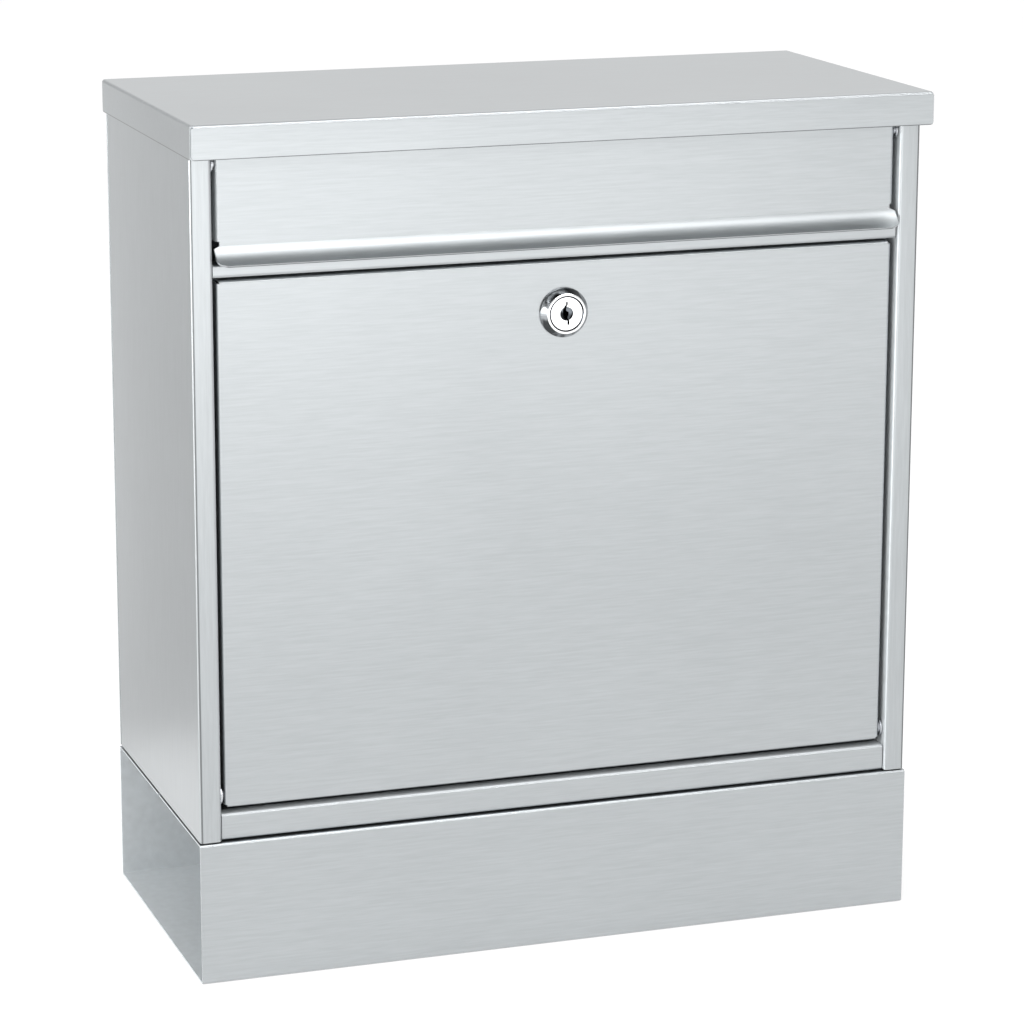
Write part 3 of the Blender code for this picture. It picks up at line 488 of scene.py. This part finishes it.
def build_bezel(axis):
    """Conical escutcheon with a flat ring round the plug, and the threaded barrel behind the door."""
    top = LOCK_RISE
    profile = [
        (PLUG_BORE, SEAT_HEIGHT),
        (PLUG_BORE, top - 0.3 * MM),
        (PLUG_BORE + RING_CHAMFER, top),
        (RING_RADIUS - RING_CHAMFER, top),
        (RING_RADIUS, top - 0.1 * MM),
        (RING_RADIUS + 0.2 * MM, top - 0.45 * MM),
        (RIM_RADIUS - 0.25 * MM, RIM_HEIGHT + 0.35 * MM),
        (RIM_RADIUS - 0.05 * MM, RIM_HEIGHT),
        (RIM_RADIUS, RIM_HEIGHT - 0.25 * MM),
        (RIM_RADIUS, RIM_SEAT),
        (BARREL_RADIUS, RIM_SEAT),
    ]
    turns = int((BARREL_LENGTH - THREAD_START) / THREAD_PITCH)
    for turn in range(turns):
        crest = -THREAD_START - turn * THREAD_PITCH
        profile.append((BARREL_RADIUS, crest))
        profile.append((BARREL_RADIUS - THREAD_DEPTH, crest - THREAD_PITCH / 2))
    profile += [(BARREL_RADIUS - THREAD_DEPTH, -BARREL_LENGTH), (BARREL_BORE, -BARREL_LENGTH)]
    profile.append((BARREL_BORE, SEAT_HEIGHT))
    bm = turned_shape(profile, axis)
    press_flats(bm, 2, axis, BARREL_HALF_FLATS, axis.y)
    # Cone faces take the painted dark reflections, the bore wall the painted shade
    for face in bm.faces:
        middle = face.calc_center_median() - axis
        radius = math.hypot(middle.x, middle.z)
        if middle.y < -RIM_SEAT and radius > RING_RADIUS:
            face.material_index = 1
        elif radius < PLUG_BORE + 0.2 * MM:
            face.material_index = 2
    piece = new_piece("lock_bezel", bm, bright_chrome, cone_painted_reflection, painted_recess_shade)
    shade_by_angle(piece)
    return piece


def keyway_cutter(axis):
    """The keyhole's crooked slot."""
    bm = bmesh.new()
    outline = [bm.verts.new(axis + Vector((x * MM, -2 * LOCK_RISE, z * MM))) for x, z in KEYWAY_OUTLINE]
    face = bm.faces.new(outline)
    made = bmesh.ops.extrude_face_region(bm, geom=[face])["geom"]
    moved = [part for part in made if isinstance(part, bmesh.types.BMVert)]
    bmesh.ops.translate(bm, verts=moved, vec=Y * (2 * LOCK_RISE + KEYWAY_DEPTH))
    bmesh.ops.recalc_face_normals(bm, faces=bm.faces)
    return new_piece("keyway_cutter", bm)


def dish_cutter(axis):
    """The round recess that guides the key's tip."""
    deep = LOCK_RISE - DISH_DEPTH
    profile = [(0, 2 * LOCK_RISE), (DISH_RADIUS, 2 * LOCK_RISE), (DISH_RADIUS, deep), (0, deep)]
    return new_piece("dish_cutter", turned_shape(profile, axis, DISH_STEPS))


def carve(piece, cutters):
    """Applies cuts to a piece, and takes the cutters away."""
    for cutter in cutters:
        cut = piece.modifiers.new(cutter.name, "BOOLEAN")
        cut.operation = "DIFFERENCE"
        cut.solver = "EXACT"
        cut.object = cutter
    evaluated = piece.evaluated_get(bpy.context.evaluated_depsgraph_get())
    mesh = bpy.data.meshes.new_from_object(evaluated)
    piece.modifiers.clear()
    piece.data = mesh
    for cutter in cutters:
        bpy.data.objects.remove(cutter, do_unlink=True)


def build_plug(axis):
    """The turning plug: its flat face with the keyhole, its body and its squared tail."""
    face = LOCK_RISE - PLUG_SINK
    tail_start = -(BARREL_LENGTH + PLUG_GAP)
    tail_end = tail_start - TAIL_LENGTH
    profile = [
        (0, face),
        (PLUG_RADIUS - 0.3 * MM, face),
        (PLUG_RADIUS, face - 0.3 * MM),
        (PLUG_RADIUS, SEAT_HEIGHT + PLUG_GAP),
        (PLUG_BODY_RADIUS, SEAT_HEIGHT + PLUG_GAP),
        (PLUG_BODY_RADIUS, tail_start),
        (TAIL_RADIUS, tail_start),
        (TAIL_RADIUS, tail_end),
        (0, tail_end),
    ]
    bm = turned_shape(profile, axis)
    press_flats(bm, 0, axis, TAIL_HALF_FLATS, axis.y - tail_start + 0.1 * MM)
    piece = new_piece("lock_plug_face", bm, bright_chrome, painted_recess_shade)
    carve(piece, [keyway_cutter(axis), dish_cutter(axis)])
    # Faces sunk below the plug's face, in the keyhole, the dish and on its sides, take the painted shade
    for polygon in piece.data.polygons:
        middle = polygon.center - axis
        if -middle.y < face - 0.05 * MM and -middle.y > tail_start:
            polygon.material_index = 1
    shade_by_angle(piece)
    return piece


def build_lock():
    low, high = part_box("lock_housing")
    axis = Vector(((low.x + high.x) / 2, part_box("door_panel")[0].y, (low.z + high.z) / 2))
    bezel = build_bezel(axis)
    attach(bezel, "door")
    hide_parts("lock_housing")
    plug = build_plug(axis)
    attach(plug, "lock")
    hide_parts("lock_plug")


# ---------------------------------------------------------------- studio


def add_floor(low):
    """A white floor that glows like a light table, most of all in front of the object."""
    mesh = bpy.data.meshes.new("floor")
    bm = bmesh.new()
    bmesh.ops.create_grid(bm, x_segments=1, y_segments=1, size=FLOOR_HALF)
    bmesh.ops.translate(bm, verts=bm.verts, vec=Z * low)
    bm.to_mesh(mesh)
    bm.free()
    floor = bpy.data.objects.new("floor", mesh)
    bpy.context.scene.collection.objects.link(floor)
    material, nodes, links = new_material("floor_white")
    grey = (FLOOR_GREY, FLOOR_GREY, FLOOR_GREY, 1)
    surface = set_surface(nodes, Base_Color=grey, Roughness=MATT, Emission_Color=(1, 1, 1, 1))
    place = nodes.new("ShaderNodeTexCoord")
    reach = nodes.new("ShaderNodeVectorMath")
    reach.operation = "DISTANCE"
    reach.inputs[1].default_value = (*POOL_PLACE, low)
    links.new(place.outputs["Object"], reach.inputs[0])
    distance = reach.outputs["Value"]
    glow = ramp(nodes, links, distance, 0.0, POOL_RADIUS, FLOOR_GLOW + POOL_GLOW, FLOOR_GLOW)
    glow.node.interpolation_type = "SMOOTHSTEP"
    links.new(glow, surface.inputs["Emission Strength"])
    mesh.materials.append(material)


def add_softbox(name, place, target, width, height, power):
    light = bpy.data.lights.new(name, "AREA")
    light.shape = "RECTANGLE"
    light.size = width
    light.size_y = height
    light.energy = power
    lamp = bpy.data.objects.new(name, light)
    lamp.location = place
    lamp.rotation_euler = (Vector(target) - Vector(place)).to_track_quat("-Z", "Y").to_euler()
    bpy.context.scene.collection.objects.link(lamp)


def add_flag():
    """A grey card behind the object's left, outside the view, that the left side panel mirrors."""
    bm = bmesh.new()
    foot = CAD_BOX[0][2]
    sides = ((FLAG_LEFT, foot), (FLAG_RIGHT, foot), (FLAG_RIGHT, FLAG_TOP), (FLAG_LEFT, FLAG_TOP))
    bm.faces.new([bm.verts.new((x, FLAG_Y, z)) for x, z in sides])
    mesh = bpy.data.meshes.new("flag")
    bm.to_mesh(mesh)
    bm.free()
    flag = bpy.data.objects.new("flag", mesh)
    bpy.context.scene.collection.objects.link(flag)
    material, nodes, links = new_material("flag_grey")
    set_surface(nodes, Base_Color=(FLAG_GREY, FLAG_GREY, FLAG_GREY, 1), Roughness=MATT)
    mesh.materials.append(material)
    flag.visible_camera = False


def add_world():
    """An even white surround, shaded at the back left."""
    world = bpy.data.worlds.new("studio")
    world.use_nodes = True
    nodes, links = world.node_tree.nodes, world.node_tree.links
    place = nodes.new("ShaderNodeTexCoord")
    split = nodes.new("ShaderNodeSeparateXYZ")
    links.new(place.outputs["Generated"], split.inputs["Vector"])
    leftwards = ramp(nodes, links, split.outputs["X"], *SHADE_LEFT, 1.0, 0.0)
    backwards = ramp(nodes, links, split.outputs["Y"], *SHADE_BACK, 0.0, 1.0)
    shaded = math_node(nodes, links, "MULTIPLY", leftwards, backwards)
    strength = ramp(nodes, links, shaded, 0.0, 1.0, SURROUND, SURROUND * BACK_LEFT_SHADE)
    links.new(strength, nodes["Background"].inputs["Strength"])
    nodes["Background"].inputs["Color"].default_value = (1, 1, 1, 1)
    bpy.context.scene.world = world


def add_studio():
    add_world()
    add_flag()
    for softbox in SOFTBOXES:
        add_softbox(*softbox)
    bpy.context.scene.view_settings.view_transform = "Standard"


def add_camera():
    azimuth, elevation = math.radians(AZIMUTH), math.radians(ELEVATION)
    out = Vector(
        (
            math.sin(azimuth) * math.cos(elevation),
            -math.cos(azimuth) * math.cos(elevation),
            math.sin(elevation),
        )
    )
    case_low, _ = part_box("left_side_panel")
    aim = Vector((AIM_SIDE, case_low.y, case_low.z + AIM_RISE))
    data = bpy.data.cameras.new("camera")
    data.lens = LENS
    data.shift_x = SHIFT
    data.shift_y = -SHIFT
    camera = bpy.data.objects.new("camera", data)
    camera.location = aim + out * DISTANCE
    turn = (-out).to_track_quat("-Z", "Y").to_matrix().to_4x4()
    camera.rotation_euler = (turn @ Matrix.Rotation(-math.radians(ROLL), 4, "Z")).to_euler()
    bpy.context.scene.collection.objects.link(camera)
    bpy.context.scene.camera = camera


# ---------------------------------------------------------------- assembly

left_low, left_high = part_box("left_side_panel")
case = (
    Vector((left_low.x, left_low.y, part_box("floor_pan")[0].z)),
    Vector((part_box("right_side_panel")[1].x, 0, left_high.z)),
)
# Painted shade lines in the side panels' front bends
corner_shade_lines = [("X", case[0].x + CORNER_SHADE_LINE), ("X", case[1].x - CORNER_SHADE_LINE)]
steel_upright = brushed_steel("brushed_upright", 2, skin_box(*case), corner_shade_lines)
steel_case = brushed_steel("brushed_case", 0, skin_box(*case))
OPEN_SIDES = {
    "roof_lid": ("-z", "+y"),
    "newspaper_sleeve": ("-x", "+x"),
    "door_panel": ("+y",),
    "slot_rail": ("+y", "-x", "+x"),
    "floor_pan": ("+y", "-x", "+x", "+z"),
}
bright_chrome = chrome("bright_chrome", (0.93, 0.94, 0.95))
# Painted shade in the lock's bore, keyhole and dish
painted_recess_shade = chrome("painted_recess_shade", (0.55, 0.60, 0.66), 0.03, 0.30, 0.22)
# The cone's chrome darkened in patches: painted dark reflections
cone_painted_reflection = chrome("cone_painted_reflection", (0.93, 0.95, 0.98), 0.10, 0.55, 0.10)
plated = plated_steel("zinc_plating")
rubber = black_rubber("buffer_rubber")

for node_name, node in NODES.items():
    if node_name in SHEET_NODES:
        ease_edges(node, EDGE_ROUND)
        if node_name == "flap_panel":
            face = case[0].y + FLAP_RECESS
            inner = skin_box((0, face, 0), (0, 0, 0), ("+y", "-x", "+x", "-z", "+z"))
            low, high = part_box("flap_panel")
            # Painted shade lines along the flap's sides and its lower edge
            shade_lines_at = [("X", low.x), ("X", high.x), ("Z", low.z)]
            paint(node, brushed_steel("brushed_flap", 0, inner, shade_lines_at))
        elif node_name in OPEN_SIDES:
            inner = skin_box(*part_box(node_name), OPEN_SIDES[node_name])
            # A painted shade line under the roof's front lip
            shade_lines_at = [("Z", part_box("roof_lid")[0].z)] if node_name == "roof_lid" else ()
            paint(node, brushed_steel("brushed_" + node_name, 0, inner, shade_lines_at))
        else:
            paint(node, steel_upright if "side_panel" in node_name else steel_case)
    elif "buffer" in node_name:
        paint(node, rubber)
    elif node_name not in ("lock_housing", "lock_plug"):
        paint(node, plated)

build_lock()
add_floor(CAD_BOX[0][2] - FLOOR_DROP)
add_studio()
add_camera()
